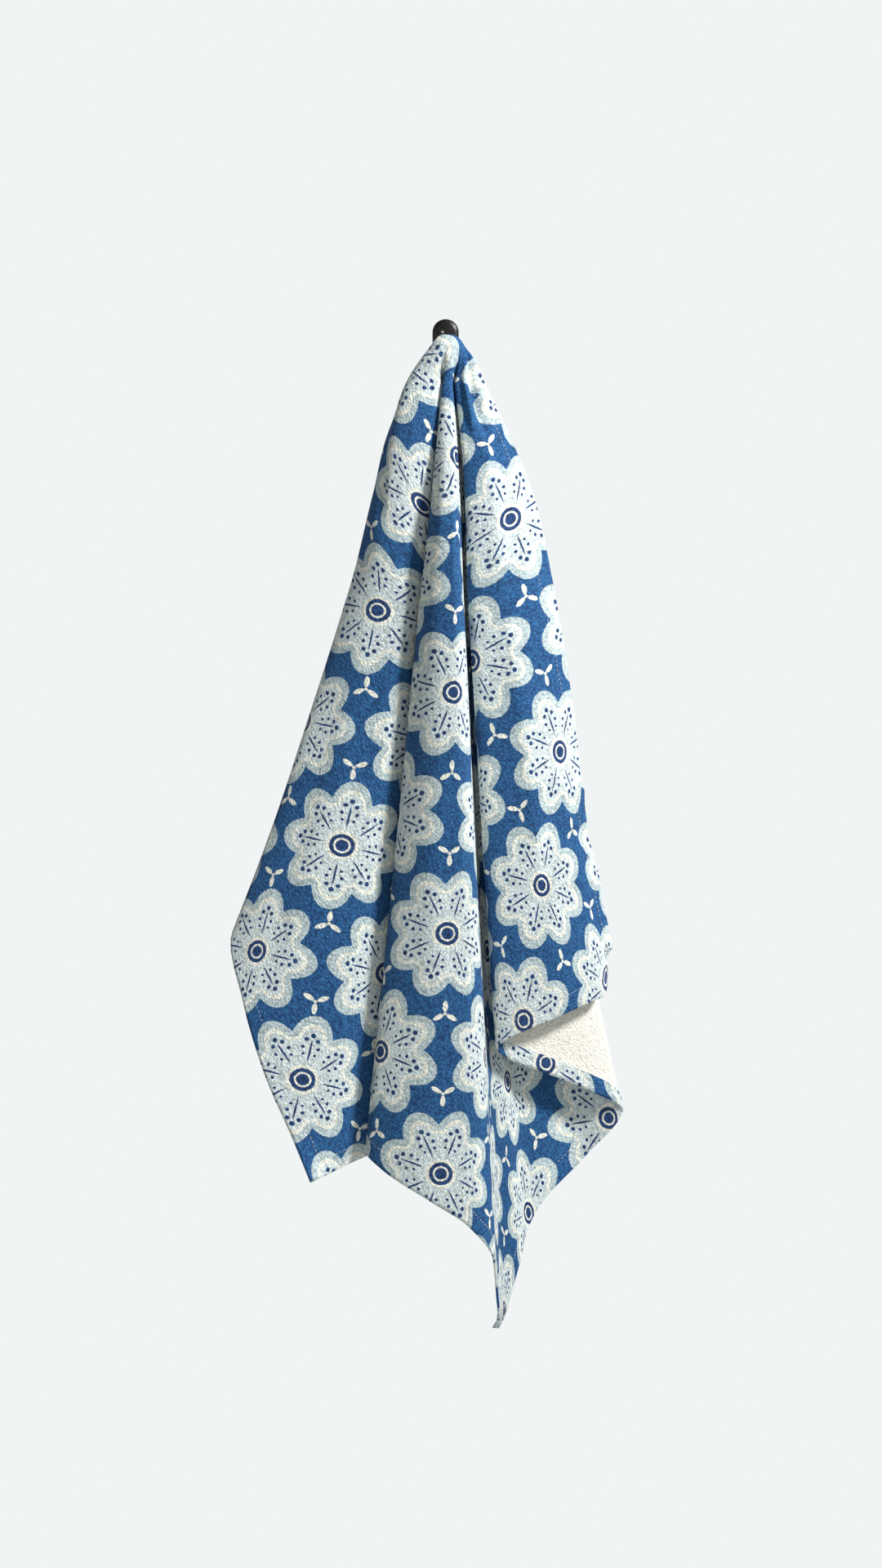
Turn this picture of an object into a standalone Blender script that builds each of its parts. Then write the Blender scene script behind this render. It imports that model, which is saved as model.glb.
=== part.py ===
# A printed tea towel hanging by one point of its long edge over a small wall hook.
# Metres, +Z up. The wall is the plane Y = 0 and the towel hangs on its -Y side.
# The origin is the middle of the hook's back face, which lies on the wall.

import math

import bmesh
import bpy
import numpy as np
from mathutils import Vector

MM = 0.001

# The towel's flat cloth, and where the hook holds it
TOWEL_LONG = 700 * MM
TOWEL_SHORT = 472 * MM
CLOTH_THICK = 1.0 * MM
LEFT_OF_HOOK = 270 * MM  # along the held long edge, from the hook to the left corner

# The hook, a cast plate with a ball-ended prong, and its screw
PLATE_WIDTH = 17 * MM
PLATE_HEIGHT = 48.5 * MM
# Columns: distance in from the plate's outline, height from the wall, in mm
PLATE_DOME = ((0, 0), (0, 1.2), (0.9, 2.2), (2.6, 2.9), (5.2, 3.3), (7.7, 3.5))
PLATE_ARC_STEPS = 20  # on each round end
PRONG_LENGTH = 35 * MM
PRONG_RADIUS = 3.0 * MM
PRONG_ROOT = ((1, 3.9), (4.2, 3.9), (5.2, 3.4), (7.2, 3.0))  # distance from the wall, radius, in mm
PRONG_BALL_RADIUS = 3.6 * MM
PRONG_SIDE = 1.2 * MM
PRONG_UP = 4.4 * MM
SCREW_RADIUS = 3.3 * MM
SCREW_RISE = 2.3 * MM
SCREW_EDGE = 0.4 * MM  # height of the screw head's rim
SCREW_SIDE = -3.7 * MM
SCREW_UP = 14.1 * MM
LATHE_STEPS = 28
GAP = 0.3 * MM
TOWEL_GAP = 0.5 * MM

# Where the towel's held edge crosses the prong
HANG_POINT = Vector((
    PRONG_SIDE,
    -30 * MM,
    PRONG_UP + PRONG_BALL_RADIUS + TOWEL_GAP + CLOTH_THICK / 2,
))

# How wide the hung towel is, as angles from the plumb line at the hang point.
# Columns: distance from the hang point in mm, left angle, right angle in degrees
OUTLINE = (
    (0, 70, 70),
    (12, 56, 62),
    (25, 47, 46),
    (40, 41, 37),
    (70, 32.5, 32),
    (110, 25.2, 28.5),
    (170, 21.2, 23),
    (240, 20.1, 19),
    (330, 19.6, 15.8),
    (450, 19.9, 14.9),
    (660, 19.9, 14.9),
)

# The folds, in order along the cloth, at the towel's foot and near the hook.
# Columns: what it is, then for the foot and for the hook: its angle on the flat cloth round the
# hang point (0 is square to the held edge), its angle from the plumb line (degrees, right is
# plus), and how far in front of the hang point it lies (mm)
FOLDS = (
    ("held edge, behind", -90, 1, -26, -90, 16, -23),
    ("back turn, before", -82, 9.5, -25.5, -86, 15, -21.5),
    ("back turn", -79, 11, -23, -83, 13.8, -20),
    ("back turn, after", -76, 9.5, -20, -80, 11.5, -18.5),
    ("back layer", -62, -5, -16, -66, -6, -15.5),
    ("back layer, left", -50, -15.5, -11, -47, -27, -10),
    ("left side", -42, -19.9, -3, -33, -39, 0),
    ("left panel, outer", -37.5, -17, 6.5, -25, -36, 7.5),
    ("left panel, middle", -34, -13.9, 11, -17, -29.5, 12.5),
    ("left panel", -30, -9.4, 12.5, -8, -20, 15.5),
    ("left panel, inner", -27, -6.8, 9, 0, -11.5, 15),
    ("first valley", -24.5, -5, 4, 5, -6.6, 11.5),
    ("first valley, behind", -22.5, -6, 0, 7, -6, 9),
    ("hidden pleat, left turn", -17.5, -11.6, -4, 9.5, -7, 6.3),
    ("hidden pleat, back", -15, -10.4, -8, 12, -6.2, 4.4),
    ("hidden pleat, middle", -5, -1, -12.5, 14.3, -3.4, 3.2),
    ("hidden pleat, right turn", 6.5, 10.3, -12, 16.5, 0, 3.8),
    ("hidden pleat, front", 9, 8.5, -8.5, 18.9, 0.5, 6.9),
    ("hidden pleat, rising", 16, 1.5, -1, 20.8, -1.4, 9.6),
    ("ridge, underneath", 22.6, -4.6, 10, 22.5, -4.4, 12.5),
    ("ridge, left fold", 24.8, -5.7, 15.5, 24, -5.4, 15),
    ("ridge, left flank", 27, -4.5, 22, 27, -4, 18),
    ("ridge, front", 30.5, -1.1, 30.5, 30.5, -0.5, 19.5),
    ("ridge, crest", 33, 1.3, 32, 33, 2, 19.5),
    ("ridge, right bend", 36.5, 2.9, 26, 36, 4, 18),
    ("ridge, right flank", 40, 3, 13, 38.5, 5, 14.5),
    ("flank strip", 43, 3.3, 6.5, 40, 5.3, 12),
    ("flank strip, turn", 46.5, 4.4, 3.5, 41.5, 5.9, 9.8),
    ("flank strip, behind", 48.5, 5, -0.5, 42.7, 6.1, 8.2),
    ("inner layer, left", 50.6, 6.1, -2.5, 44.2, 7.3, 6.8),
    ("inner layer", 54.3, 9.6, -1.5, 46.5, 9.6, 6.2),
    ("right turn", 58.5, 12.7, 2.5, 49, 11.6, 7.8),
    ("back of cloth, right", 61, 11.2, 6.5, 50.5, 11, 9.8),
    ("back of cloth", 65, 8, 9.5, 52.3, 9.8, 11.8),
    ("second valley, behind", 69.3, 4.6, 12, 55, 8.4, 14),
    ("second valley, turn", 71.5, 3.9, 15.5, 57.2, 8, 16),
    ("right panel, left", 74, 5, 19, 60.5, 10.2, 18),
    ("right panel", 79, 9, 21.5, 69, 18.5, 18.5),
    ("right panel, outer", 85, 12.7, 15.5, 78, 27, 12.5),
    ("held edge, right", 90, 14.9, 5, 90, 35.5, 3),
)
TO_THE_FOOT = (40 * MM, 180 * MM)  # where the folds pass from the hook's columns to the foot's

# Near the hook the folds run out into a smooth hood over the prong
HOOD_FRONT = 26 * MM
HOOD_BACK = 19 * MM
HOOD_REACH = 40 * MM
HOOD_TURN = 235  # degrees that the hood turns round the prong
HOOD_START = -150
HOOD_CAP = 16 * MM  # within this distance the cloth rounds over the prong's tip
DEPTH_REACH = 60 * MM  # the folds reach most of their depth this far down
FOLDS_DEEPEN = (10 * MM, 30 * MM)
FOLDS_OVERLAP = (8 * MM, 36 * MM)

# The lower right corner curls back towards the wall
CURL_FROM = 404 * MM
CURL_ANGLES = (86, 90)
CURL_BACK = 0.7

# How finely the solid is divided
RAY_STEP = 2.2  # degrees, at most, between two rays of the cloth
RAY_CLEARANCE = 0.8  # a fold closer than this to a corner has no ray of its own
STATIONS = 20
FIRST_STATION = 3 * MM
STATION_SPREAD = (0.2, 0.8)  # shares of even steps and of steps that grow from the hook
SHARP_ANGLE = 50  # degrees


def clear_scene():
    for obj in list(bpy.data.objects):
        bpy.data.objects.remove(obj)


def material(name, colour, roughness, metallic=0.0):
    made = bpy.data.materials.new(name)
    made.use_nodes = True
    shader = made.node_tree.nodes["Principled BSDF"]
    shader.inputs["Base Color"].default_value = (*colour, 1)
    shader.inputs["Roughness"].default_value = roughness
    shader.inputs["Metallic"].default_value = metallic
    return made


def smooth_step(x, low, high):
    t = np.clip((x - low) / (high - low), 0, 1)
    return t * t * (3 - 2 * t)


def curve_through(x, xs, ys):
    """Smooth curves through the points (xs, ys) that don't overshoot them. Each x may have its
    own row of points."""
    shape = np.shape(x)
    xs = np.broadcast_to(np.asarray(xs, float), shape + (np.shape(xs)[-1],))
    ys = np.broadcast_to(np.asarray(ys, float), xs.shape)
    width = np.diff(xs)
    slope = np.diff(ys) / width
    before, after = slope[..., :-1], slope[..., 1:]
    same_way = before * after > 0
    both = np.where(same_way, before + after, 1)
    tangent = np.zeros(ys.shape)
    tangent[..., 1:-1] = np.where(same_way, 2 * before * after / both, 0)
    tangent[..., 0], tangent[..., -1] = slope[..., 0], slope[..., -1]
    span = (np.asarray(x)[..., None] >= xs[..., 1:-1]).sum(-1)[..., None]

    def at(values, place):
        return np.take_along_axis(values, place, -1)[..., 0]

    wide = at(width, span)
    t = np.clip((x - at(xs, span)) / wide, 0, 1)
    return (
        at(ys, span) * (1 + 2 * t) * (1 - t) ** 2
        + at(tangent, span) * wide * t * (1 - t) ** 2
        + at(ys, span + 1) * t * t * (3 - 2 * t)
        + at(tangent, span + 1) * wide * t * t * (t - 1)
    )


def outline_angles(distance):
    """The towel's left and right angles from the plumb line, in degrees, at this distance."""
    at, left, right = zip(*OUTLINE)
    return curve_through(distance / MM, at, left), curve_through(distance / MM, at, right)


def folds_at(distance):
    """The fold table's three columns at this distance, between the hook's and the foot's."""
    to_foot = smooth_step(distance, *TO_THE_FOOT)[..., None]
    foot, near = np.array([(fold[1:4], fold[4:7]) for fold in FOLDS], float).transpose(1, 2, 0)
    return [hook_end + (foot_end - hook_end) * to_foot for hook_end, foot_end in zip(near, foot)]


def ray_at(foot_angle, distance):
    """The cloth angle of a ray that keeps to its fold: nearer the hook the folds lie elsewhere."""
    foot, near = np.array([(fold[1], fold[4]) for fold in FOLDS], float).T
    at_hook = np.interp(foot_angle, foot, near)
    return at_hook + (foot_angle - at_hook) * smooth_step(distance, *TO_THE_FOOT)


def folded_point(angle, distance):
    """Where a point of the folded cloth lies from the hang point, for angles in the fold table."""
    angles, sides, fronts = folds_at(distance)
    left, right = outline_angles(distance)
    side = curve_through(angle, angles, sides)
    outer = np.where(side < 0, -sides.min(-1), sides.max(-1))
    widening = np.where(side < 0, left, right) / outer - 1
    side = side * (1 + widening * np.abs(side) / outer)
    front = curve_through(angle, angles, fronts) * MM * np.tanh(distance / DEPTH_REACH)

    turn = np.radians(HOOD_START + HOOD_TURN * (angle + 90) / 180)
    hood_side = np.sin(turn) * np.where(turn < 0, left, right)
    hood_depth = np.where(np.cos(turn) > 0, HOOD_FRONT, HOOD_BACK)
    hood_front = np.cos(turn) * hood_depth * np.tanh(distance / HOOD_REACH)

    overlap = smooth_step(distance, *FOLDS_OVERLAP)
    deepen = smooth_step(distance, *FOLDS_DEEPEN)
    side = np.radians(hood_side + (side - hood_side) * overlap)
    front = hood_front + (front - hood_front) * deepen

    curl = smooth_step(angle, *CURL_ANGLES) * np.maximum(distance - CURL_FROM, 0)
    front = front - curl * CURL_BACK
    reach = np.sqrt(np.maximum((distance - curl) ** 2 - front**2, 0))
    return np.stack((reach * np.sin(side), -front, -reach * np.cos(side)), -1)


def hung_point(angle, distance):
    """Where the cloth's point at this angle (degrees) and distance (metres) hangs."""
    over = np.radians(angle)
    flat = np.stack((np.sin(over), -np.cos(over), 0 * over), -1) * distance[..., None]
    drop = smooth_step(distance, 0, HOOD_CAP)[..., None]
    return flat + (folded_point(angle, distance) - flat) * drop + np.array(HANG_POINT)


def reach_of(angle):
    """How far the flat cloth goes from the hang point at this angle, in metres."""
    across, along = math.sin(math.radians(angle)), math.cos(math.radians(angle))
    beside = TOWEL_LONG - LEFT_OF_HOOK if across > 0 else LEFT_OF_HOOK
    to_side = beside / abs(across) if across else math.inf
    to_far_edge = TOWEL_SHORT / along if along > 1e-9 else math.inf
    return min(to_side, to_far_edge)


def ray_angles():
    """The rays from the hang point: through each fold and lower corner, and evenly between."""
    corners = [
        math.degrees(math.atan2(-LEFT_OF_HOOK, TOWEL_SHORT)),
        math.degrees(math.atan2(TOWEL_LONG - LEFT_OF_HOOK, TOWEL_SHORT)),
    ]
    folds = [fold[1] for fold in FOLDS]
    folds = [
        fold for fold in folds if min(abs(fold - corner) for corner in corners) > RAY_CLEARANCE
    ]
    ends = sorted(corners + folds)
    rays = []
    for start, stop in zip(ends, ends[1:]):
        parts = math.ceil((stop - start) / RAY_STEP)
        rays += [start + (stop - start) * k / parts for k in range(parts)]
    return rays + [ends[-1]]


def add_object(name, mesh, look):
    """Makes an object of this mesh, with smooth faces and sharp edges where it turns hard."""
    data = bpy.data.meshes.new(name)
    mesh.to_mesh(data)
    mesh.free()
    data.shade_smooth()
    data.set_sharp_from_angle(angle=math.radians(SHARP_ANGLE))
    data.materials.append(look)
    obj = bpy.data.objects.new(name, data)
    bpy.context.scene.collection.objects.link(obj)
    return obj


def stack_of_rings(rings):
    """A closed mesh from rings of points, all with the same count, capped at both ends."""
    mesh = bmesh.new()
    rows = [[mesh.verts.new(point) for point in ring] for ring in rings]
    for row, after in zip(rows, rows[1:]):
        for k in range(len(row)):
            nxt = (k + 1) % len(row)
            mesh.faces.new((row[k], row[nxt], after[nxt], after[k]))
    mesh.faces.new(rows[0])
    mesh.faces.new(rows[-1])
    bmesh.ops.recalc_face_normals(mesh, faces=mesh.faces)
    return mesh


def turned(profile, side, up):
    """A turned piece on an axis square to the wall. The profile is (distance from it, radius)."""
    rings = []
    for out, radius in profile:
        ring = []
        for k in range(LATHE_STEPS):
            around = math.tau * k / LATHE_STEPS
            ring.append((side + radius * math.cos(around), -out, up + radius * math.sin(around)))
        rings.append(ring)
    return stack_of_rings(rings)


def arc_profile(centre, radius_out, radius, start, stop, steps):
    """Profile points on an arc about a point of the axis, from start to stop in degrees."""
    angles = [math.radians(start + (stop - start) * k / steps) for k in range(steps + 1)]
    return [(centre + radius_out * math.cos(a), radius * math.sin(a)) for a in angles]


def hook():
    """The plate lies on the wall and the prong grows out of it."""
    black = material("black lacquered metal", (0.012, 0.012, 0.013), 0.22, 0.6)
    rings = []
    for inset, height in PLATE_DOME:
        radius = PLATE_WIDTH / 2 - inset * MM
        straight = (PLATE_HEIGHT - PLATE_WIDTH) / 2
        ring = []
        for end in (1, -1):
            for k in range(PLATE_ARC_STEPS + 1):
                around = math.pi * k / PLATE_ARC_STEPS
                across, along = radius * math.cos(around), radius * math.sin(around) + straight
                ring.append((end * across, -height * MM, end * along))
        rings.append(ring)
    plate = add_object("hook", stack_of_rings(rings), black)

    ball = PRONG_LENGTH - PRONG_BALL_RADIUS
    neck = math.degrees(math.asin(PRONG_RADIUS / PRONG_BALL_RADIUS))
    profile = [(out * MM, radius * MM) for out, radius in PRONG_ROOT]
    profile += arc_profile(ball, PRONG_BALL_RADIUS, PRONG_BALL_RADIUS, 180 - neck, 8, 9)
    prong = add_object("prong of the hook", turned(profile, PRONG_SIDE, PRONG_UP), black)
    prong.hide_render = True
    prong.display_type = "WIRE"
    joined = plate.modifiers.new("prong", "BOOLEAN")
    joined.operation = "UNION"
    joined.object = prong

    base = PLATE_DOME[-1][1] * MM + GAP
    profile = [(base, SCREW_RADIUS)] + arc_profile(
        base + SCREW_EDGE, SCREW_RISE - SCREW_EDGE, SCREW_RADIUS, 90, 6, 7
    )
    add_object("hook_screw", turned(profile, SCREW_SIDE, SCREW_UP), black)


def towel():
    """One sheet of cloth: rays that fan out from the hang point, thickened both ways."""
    rays = ray_angles()
    shares = np.linspace(0, 1, STATIONS)[1:]
    mesh = bmesh.new()
    middle = mesh.verts.new(HANG_POINT)
    rows = []
    for angle in rays:
        distance = reach_of(angle) * (STATION_SPREAD[0] * shares + STATION_SPREAD[1] * shares**2)
        distance = np.append(FIRST_STATION, distance)
        points = hung_point(ray_at(angle, distance), distance)
        rows.append([mesh.verts.new(p) for p in points])
    for row, after in zip(rows, rows[1:]):
        mesh.faces.new((middle, after[0], row[0]))
        for k in range(STATIONS - 1):
            mesh.faces.new((row[k], after[k], after[k + 1], row[k + 1]))
    obj = add_object("towel", mesh, material("printed cotton", (0.05, 0.13, 0.33), 0.85))
    obj.modifiers.new("triangles", "TRIANGULATE")
    thick = obj.modifiers.new("cloth thickness", "SOLIDIFY")
    thick.thickness = CLOTH_THICK
    thick.offset = 0


clear_scene()
hook()
towel()
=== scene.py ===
import math

import bpy
import numpy as np
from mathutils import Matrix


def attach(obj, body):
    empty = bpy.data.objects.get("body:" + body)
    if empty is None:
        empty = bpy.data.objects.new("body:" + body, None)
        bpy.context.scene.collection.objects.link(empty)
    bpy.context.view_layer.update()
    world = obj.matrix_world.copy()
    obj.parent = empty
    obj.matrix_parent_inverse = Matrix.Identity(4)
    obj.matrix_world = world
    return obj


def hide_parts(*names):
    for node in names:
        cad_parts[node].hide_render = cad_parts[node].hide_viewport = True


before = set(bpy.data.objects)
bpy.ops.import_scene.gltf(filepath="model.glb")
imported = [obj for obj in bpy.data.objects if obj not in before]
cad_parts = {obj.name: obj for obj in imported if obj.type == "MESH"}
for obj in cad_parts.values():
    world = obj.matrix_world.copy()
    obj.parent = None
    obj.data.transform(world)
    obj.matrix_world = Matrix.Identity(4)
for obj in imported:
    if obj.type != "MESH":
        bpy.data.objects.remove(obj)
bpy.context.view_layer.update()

mm = 0.001
print("frame loaded")


# View: straight on to the wall, 1.8 m from the hook
photoView = {
    "distance": 1.8,
    "metresPerPixel": 0.00052,  # on the plane of the hook's tip
    "hookPixel": (548, 411),
    "imageSize": (1080, 1920),
    "filmHeight": 36.0,  # mm
    "nearest": 0.05,  # what lies closer than this isn't drawn
}

# The cloth before it was hung, and how it is hung, in metres
towelCloth = {
    "long": 0.700,
    "short": 0.472,
    "leftOfHook": 0.270,  # the hook holds the long edge this far from its end
    "thick": 1.0 * mm,
    "hangPoint": (1.2 * mm, -30 * mm, 9.0 * mm),
    "rayStep": 0.55,  # degrees between two rays of the mesh
    "stations": 132,  # rings of the mesh round the hang point
    "stationsClose": (0.45, 1.6),  # how much closer together they lie near the hook
    "hem": 10.4 * mm,  # depth of the turned hem
    "hemRings": 5,
    "hemExtra": 0.55 * mm,  # what the turned hem adds behind the cloth
    "hemSlope": 0.8 * mm,  # half the width over which it does so
    "hemFrom": (20 * mm, 50 * mm),  # beside the hook the hem is pressed flat
    "cornerExtra": 1.5 * mm,  # what the hem's folded corners add on each side
    "cornerSize": 11 * mm,
    "rimBulge": 0.45,  # how round the cloth's edge is, as a share of its thickness
    "pucker": 0.35 * mm,
    "puckerLength": 13 * mm,
    "puckerFrom": (30 * mm, 80 * mm),
    "normalStep": 0.4 * mm,  # how far off the cloth's slope is read
}

# Distance from the hang point in mm, and the outline's left and right angles in degrees
towelOutline = (
    (0, 70, 70),
    (12, 56, 62),
    (25, 47, 46),
    (40, 41, 37),
    (70, 32.5, 32),
    (110, 25.2, 28.5),
    (170, 21.2, 23),
    (240, 20.1, 19),
    (330, 19.6, 15.8),
    (450, 19.9, 14.9),
    (660, 19.9, 14.9),
)

# Each fold at the foot and near the hook. Both times: its angle on the flat cloth, its angle
# from the plumb line (degrees), and how far in front of the hang point it lies (mm)
towelFolds = (
    ((-90, 1, -26), (-90, 16, -23)),  # held edge, behind
    ((-82, 9.5, -25.5), (-86, 15, -21.5)),
    ((-79, 11, -23), (-83, 13.8, -20)),  # back turn
    ((-76, 9.5, -20), (-80, 11.5, -18.5)),
    ((-62, -5, -16), (-66, -6, -15.5)),  # back layer
    ((-50, -15.5, -11), (-47, -27, -10)),
    ((-42, -19.9, -3), (-33, -39, 0)),  # left side
    ((-37.5, -17, 6.5), (-25, -36, 7.5)),
    ((-34, -13.9, 11), (-17, -29.5, 12.5)),
    ((-30, -9.4, 12.5), (-8, -20, 15.5)),  # left panel
    ((-27, -6.8, 9), (0, -11.5, 15)),
    ((-24.5, -5, 4), (5, -6.6, 11.5)),  # first valley
    ((-22.5, -6, 0), (7, -6.0, 9)),
    ((-17.5, -11.6, -4), (9.5, -7, 6.3)),  # hidden pleat, left turn
    ((-15, -10.4, -8), (12, -6.2, 4.4)),
    ((-5, -1, -12.5), (14.3, -3.4, 3.2)),
    ((6.5, 10.3, -12), (16.5, 0, 3.8)),  # hidden pleat, right turn
    ((9, 8.5, -8.5), (18.9, 0.5, 6.9)),
    ((16, 1.5, -1), (20.8, -1.4, 9.6)),
    ((22.6, -4.6, 10), (22.5, -4.4, 12.5)),  # underneath the ridge
    ((24.8, -5.7, 15.5), (24, -5.4, 15)),  # left fold of the ridge
    ((27, -4.5, 22), (27, -4, 18)),
    ((30.5, -1.1, 30.5), (30.5, -0.5, 19.5)),
    ((33, 1.3, 32), (33, 2, 19.5)),  # crest of the ridge
    ((36.5, 2.9, 26), (36, 4, 18)),
    ((40, 3, 13), (38.5, 5, 14.5)),
    ((43, 3.3, 6.5), (40, 5.3, 12)),  # flank strip
    ((46.5, 4.4, 3.5), (41.5, 5.9, 9.8)),
    ((48.5, 5, -0.5), (42.7, 6.1, 8.2)),
    ((50.6, 6.1, -2.5), (44.2, 7.3, 6.8)),
    ((54.3, 9.6, -1.5), (46.5, 9.6, 6.2)),  # inner layer
    ((58.5, 12.7, 2.5), (49, 11.6, 7.8)),  # right turn
    ((61, 11.2, 6.5), (50.5, 11, 9.8)),
    ((65, 8, 9.5), (52.3, 9.8, 11.8)),  # back of the cloth, to the front here
    ((69.3, 4.6, 12), (55, 8.4, 14)),
    ((71.5, 3.9, 15.5), (57.2, 8, 16)),  # second valley
    ((74, 5, 19), (60.5, 10.2, 18)),
    ((79, 9, 21.5), (69, 18.5, 18.5)),  # right panel
    ((85, 12.7, 15.5), (78, 27, 12.5)),
    ((90, 14.9, 5), (90, 35.5, 3)),  # held edge, right
)

foldShape = {
    "toTheFoot": (40 * mm, 180 * mm),  # where the folds pass from the hook's to the foot's
    "hoodFront": 26 * mm,  # beside the hook the cloth goes round it in one curve, the hood
    "hoodBack": 19 * mm,
    "hoodReach": 40 * mm,
    "hoodTurn": 235,  # degrees from one held edge to the other
    "hoodStart": -150,
    "hoodCap": 16 * mm,  # the cloth lies flat over the hook's tip and turns down by here
    "depthReach": 60 * mm,
    "deepen": (10 * mm, 30 * mm),  # where the folds grow out of the hood, forward and back
    "overlap": (8 * mm, 36 * mm),  # and sideways
    "curlFrom": 404 * mm,  # the held edge's right corner curls from here
    "curlAngles": (86, 90),
    "curlBack": 0.7,
    "toeFrom": 616 * mm,  # the lowest corner curls up from here, to the left and back
    "toeLength": 22 * mm,
    "toeTurn": 75,  # degrees
    "toeLeft": 0.4,
    "toeBack": 0.6,
}

# Creases listed on the flat cloth: from and to as (angle in degrees, distance in mm),
# width and height in mm. A height below 0 is a trough, and each one runs out at its ends.
towelCreases = (
    ((-36, 30), (-31, 150), 11, -1.6),
    ((-33, 120), (-27, 330), 16, 1.3),
    ((-39, 200), (-35, 480), 20, -1.5),
    ((30, 60), (29, 240), 9, 1.0),
    ((34, 45), (37, 190), 5, -0.9),
    ((31.5, 250), (30, 470), 18, 0.9),
    ((86, 2), (75, 80), 6, -5.2),  # the strip beside the held edge lies behind a fold
    ((79, 4), (68, 78), 5, 3.4),
    ((77, 50), (80, 240), 10, -1.1),
    ((82, 150), (79, 380), 14, 1.2),
    ((80, 296), (96, 306), 12, 1.8),
    ((81, 326), (96, 336), 12, -2.2),
    ((82, 354), (96, 364), 12, 1.8),
    ((-31.5, 508), (-27.5, 612), 24, 7.0),  # the left corner turns a little to the front
    ((-56, 250), (-47, 400), 20, 1.6),
    ((57, 380), (52, 590), 30, -4.5),  # the pocket under the turned-over part
    ((84, 300), (77, 400), 12, -1.2),
)


def smoothStep(x, low, high):
    t = np.clip((x - low) / (high - low), 0, 1)
    return t * t * (3 - 2 * t)


def curveThrough(x, xs, ys):
    # smooth through the points, with no overshoot between them
    xs, ys = np.asarray(xs, float), np.asarray(ys, float)
    width = np.diff(xs)
    slope = np.diff(ys) / width
    tangent = np.zeros(len(xs))
    sameWay = slope[:-1] * slope[1:] > 0
    before, after = slope[:-1][sameWay], slope[1:][sameWay]
    tangent[1:-1][sameWay] = 2 * before * after / (before + after)
    tangent[0], tangent[-1] = slope[0], slope[-1]
    i = np.clip(np.searchsorted(xs, x, side="right") - 1, 0, len(width) - 1)
    t = np.clip((x - xs[i]) / width[i], 0, 1)
    return (
        ys[i] * (1 + 2 * t) * (1 - t) ** 2
        + tangent[i] * width[i] * t * (1 - t) ** 2
        + ys[i + 1] * t * t * (3 - 2 * t)
        + tangent[i + 1] * width[i] * t * t * (t - 1)
    )


def curveThroughRows(x, xs, ys):
    # as curveThrough, with knots of its own for each x
    width = np.diff(xs, axis=-1)
    slope = np.diff(ys, axis=-1) / width
    before, after = slope[..., :-1], slope[..., 1:]
    sameWay = before * after > 0
    tangent = np.zeros(ys.shape)
    tangent[..., 1:-1] = np.where(sameWay, 2 * before * after / np.where(sameWay, before + after, 1), 0)
    tangent[..., 0], tangent[..., -1] = slope[..., 0], slope[..., -1]
    i = np.clip((x[..., None] >= xs).sum(-1) - 1, 0, xs.shape[-1] - 2)[..., None]

    def pick(values, k):
        return np.take_along_axis(values, k, -1)[..., 0]

    w = pick(width, i)
    t = np.clip((x - pick(xs, i)) / w, 0, 1)
    return (
        pick(ys, i) * (1 + 2 * t) * (1 - t) ** 2
        + pick(tangent, i) * w * t * (1 - t) ** 2
        + pick(ys, i + 1) * t * t * (3 - 2 * t)
        + pick(tangent, i + 1) * w * t * t * (t - 1)
    )


def foldedPoint(angle, distance):
    f = foldShape
    foot, near = np.array(towelFolds, float).transpose(1, 2, 0)
    at, lefts, rights = zip(*towelOutline)
    left = curveThrough(distance / mm, at, lefts)
    right = curveThrough(distance / mm, at, rights)

    toFoot = smoothStep(distance, *f["toTheFoot"])
    angles, sides, fronts = [n + (t - n) * toFoot[..., None] for n, t in zip(near, foot)]
    side = curveThroughRows(angle, angles, sides)
    front = curveThroughRows(angle, angles, fronts) * mm
    outer = np.where(side < 0, -sides.min(-1), sides.max(-1))
    widening = np.where(side < 0, left, right) / outer - 1
    side = side * (1 + widening * np.abs(side) / outer)
    front = front * np.tanh(distance / f["depthReach"])

    share = (angle + 90) / 180
    turn = np.radians(f["hoodStart"] + f["hoodTurn"] * share)
    hoodSide = np.sin(turn) * np.where(turn < 0, left, right)
    hoodDepth = np.where(np.cos(turn) > 0, f["hoodFront"], f["hoodBack"])
    hoodFront = np.cos(turn) * hoodDepth * np.tanh(distance / f["hoodReach"])

    side = np.radians(hoodSide + (side - hoodSide) * smoothStep(distance, *f["overlap"]))
    front = hoodFront + (front - hoodFront) * smoothStep(distance, *f["deepen"])

    curl = smoothStep(angle, *f["curlAngles"]) * np.maximum(distance - f["curlFrom"], 0)
    toe = np.clip((distance - f["toeFrom"]) / f["toeLength"], 0, 1)
    turned = math.radians(f["toeTurn"]) * np.maximum(toe, 1e-6)
    straight = distance - curl - toe * f["toeLength"]
    toeDown = toe * f["toeLength"] * np.sin(turned) / turned
    toeAside = toe * f["toeLength"] * (1 - np.cos(turned)) / turned
    front = front - curl * f["curlBack"] - toeAside * f["toeBack"]
    reach = np.sqrt(np.maximum((straight + toeDown) ** 2 - front**2, 0))
    left = toeAside * f["toeLeft"]
    return np.stack((reach * np.sin(side) - left, -front, -reach * np.cos(side)), -1)


def hungPoint(angle, distance):
    over = np.radians(angle)
    flat = np.stack((np.sin(over), -np.cos(over), 0 * over), -1) * distance[..., None]
    drop = smoothStep(distance, 0, foldShape["hoodCap"])[..., None]
    return flat + (foldedPoint(angle, distance) - flat) * drop + np.array(towelCloth["hangPoint"])


def reachOf(angle, inset=0.0):
    # how far the flat cloth goes from the hang point, up to a line set in from its edges
    c = towelCloth
    across, along = math.sin(math.radians(angle)), math.cos(math.radians(angle))
    beside = (c["long"] - c["leftOfHook"] if across > 0 else c["leftOfHook"]) - inset
    toSide = beside / abs(across) if across else math.inf
    toFarEdge = (c["short"] - inset) / along if along > 1e-9 else math.inf
    return min(toSide, toFarEdge)


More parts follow.
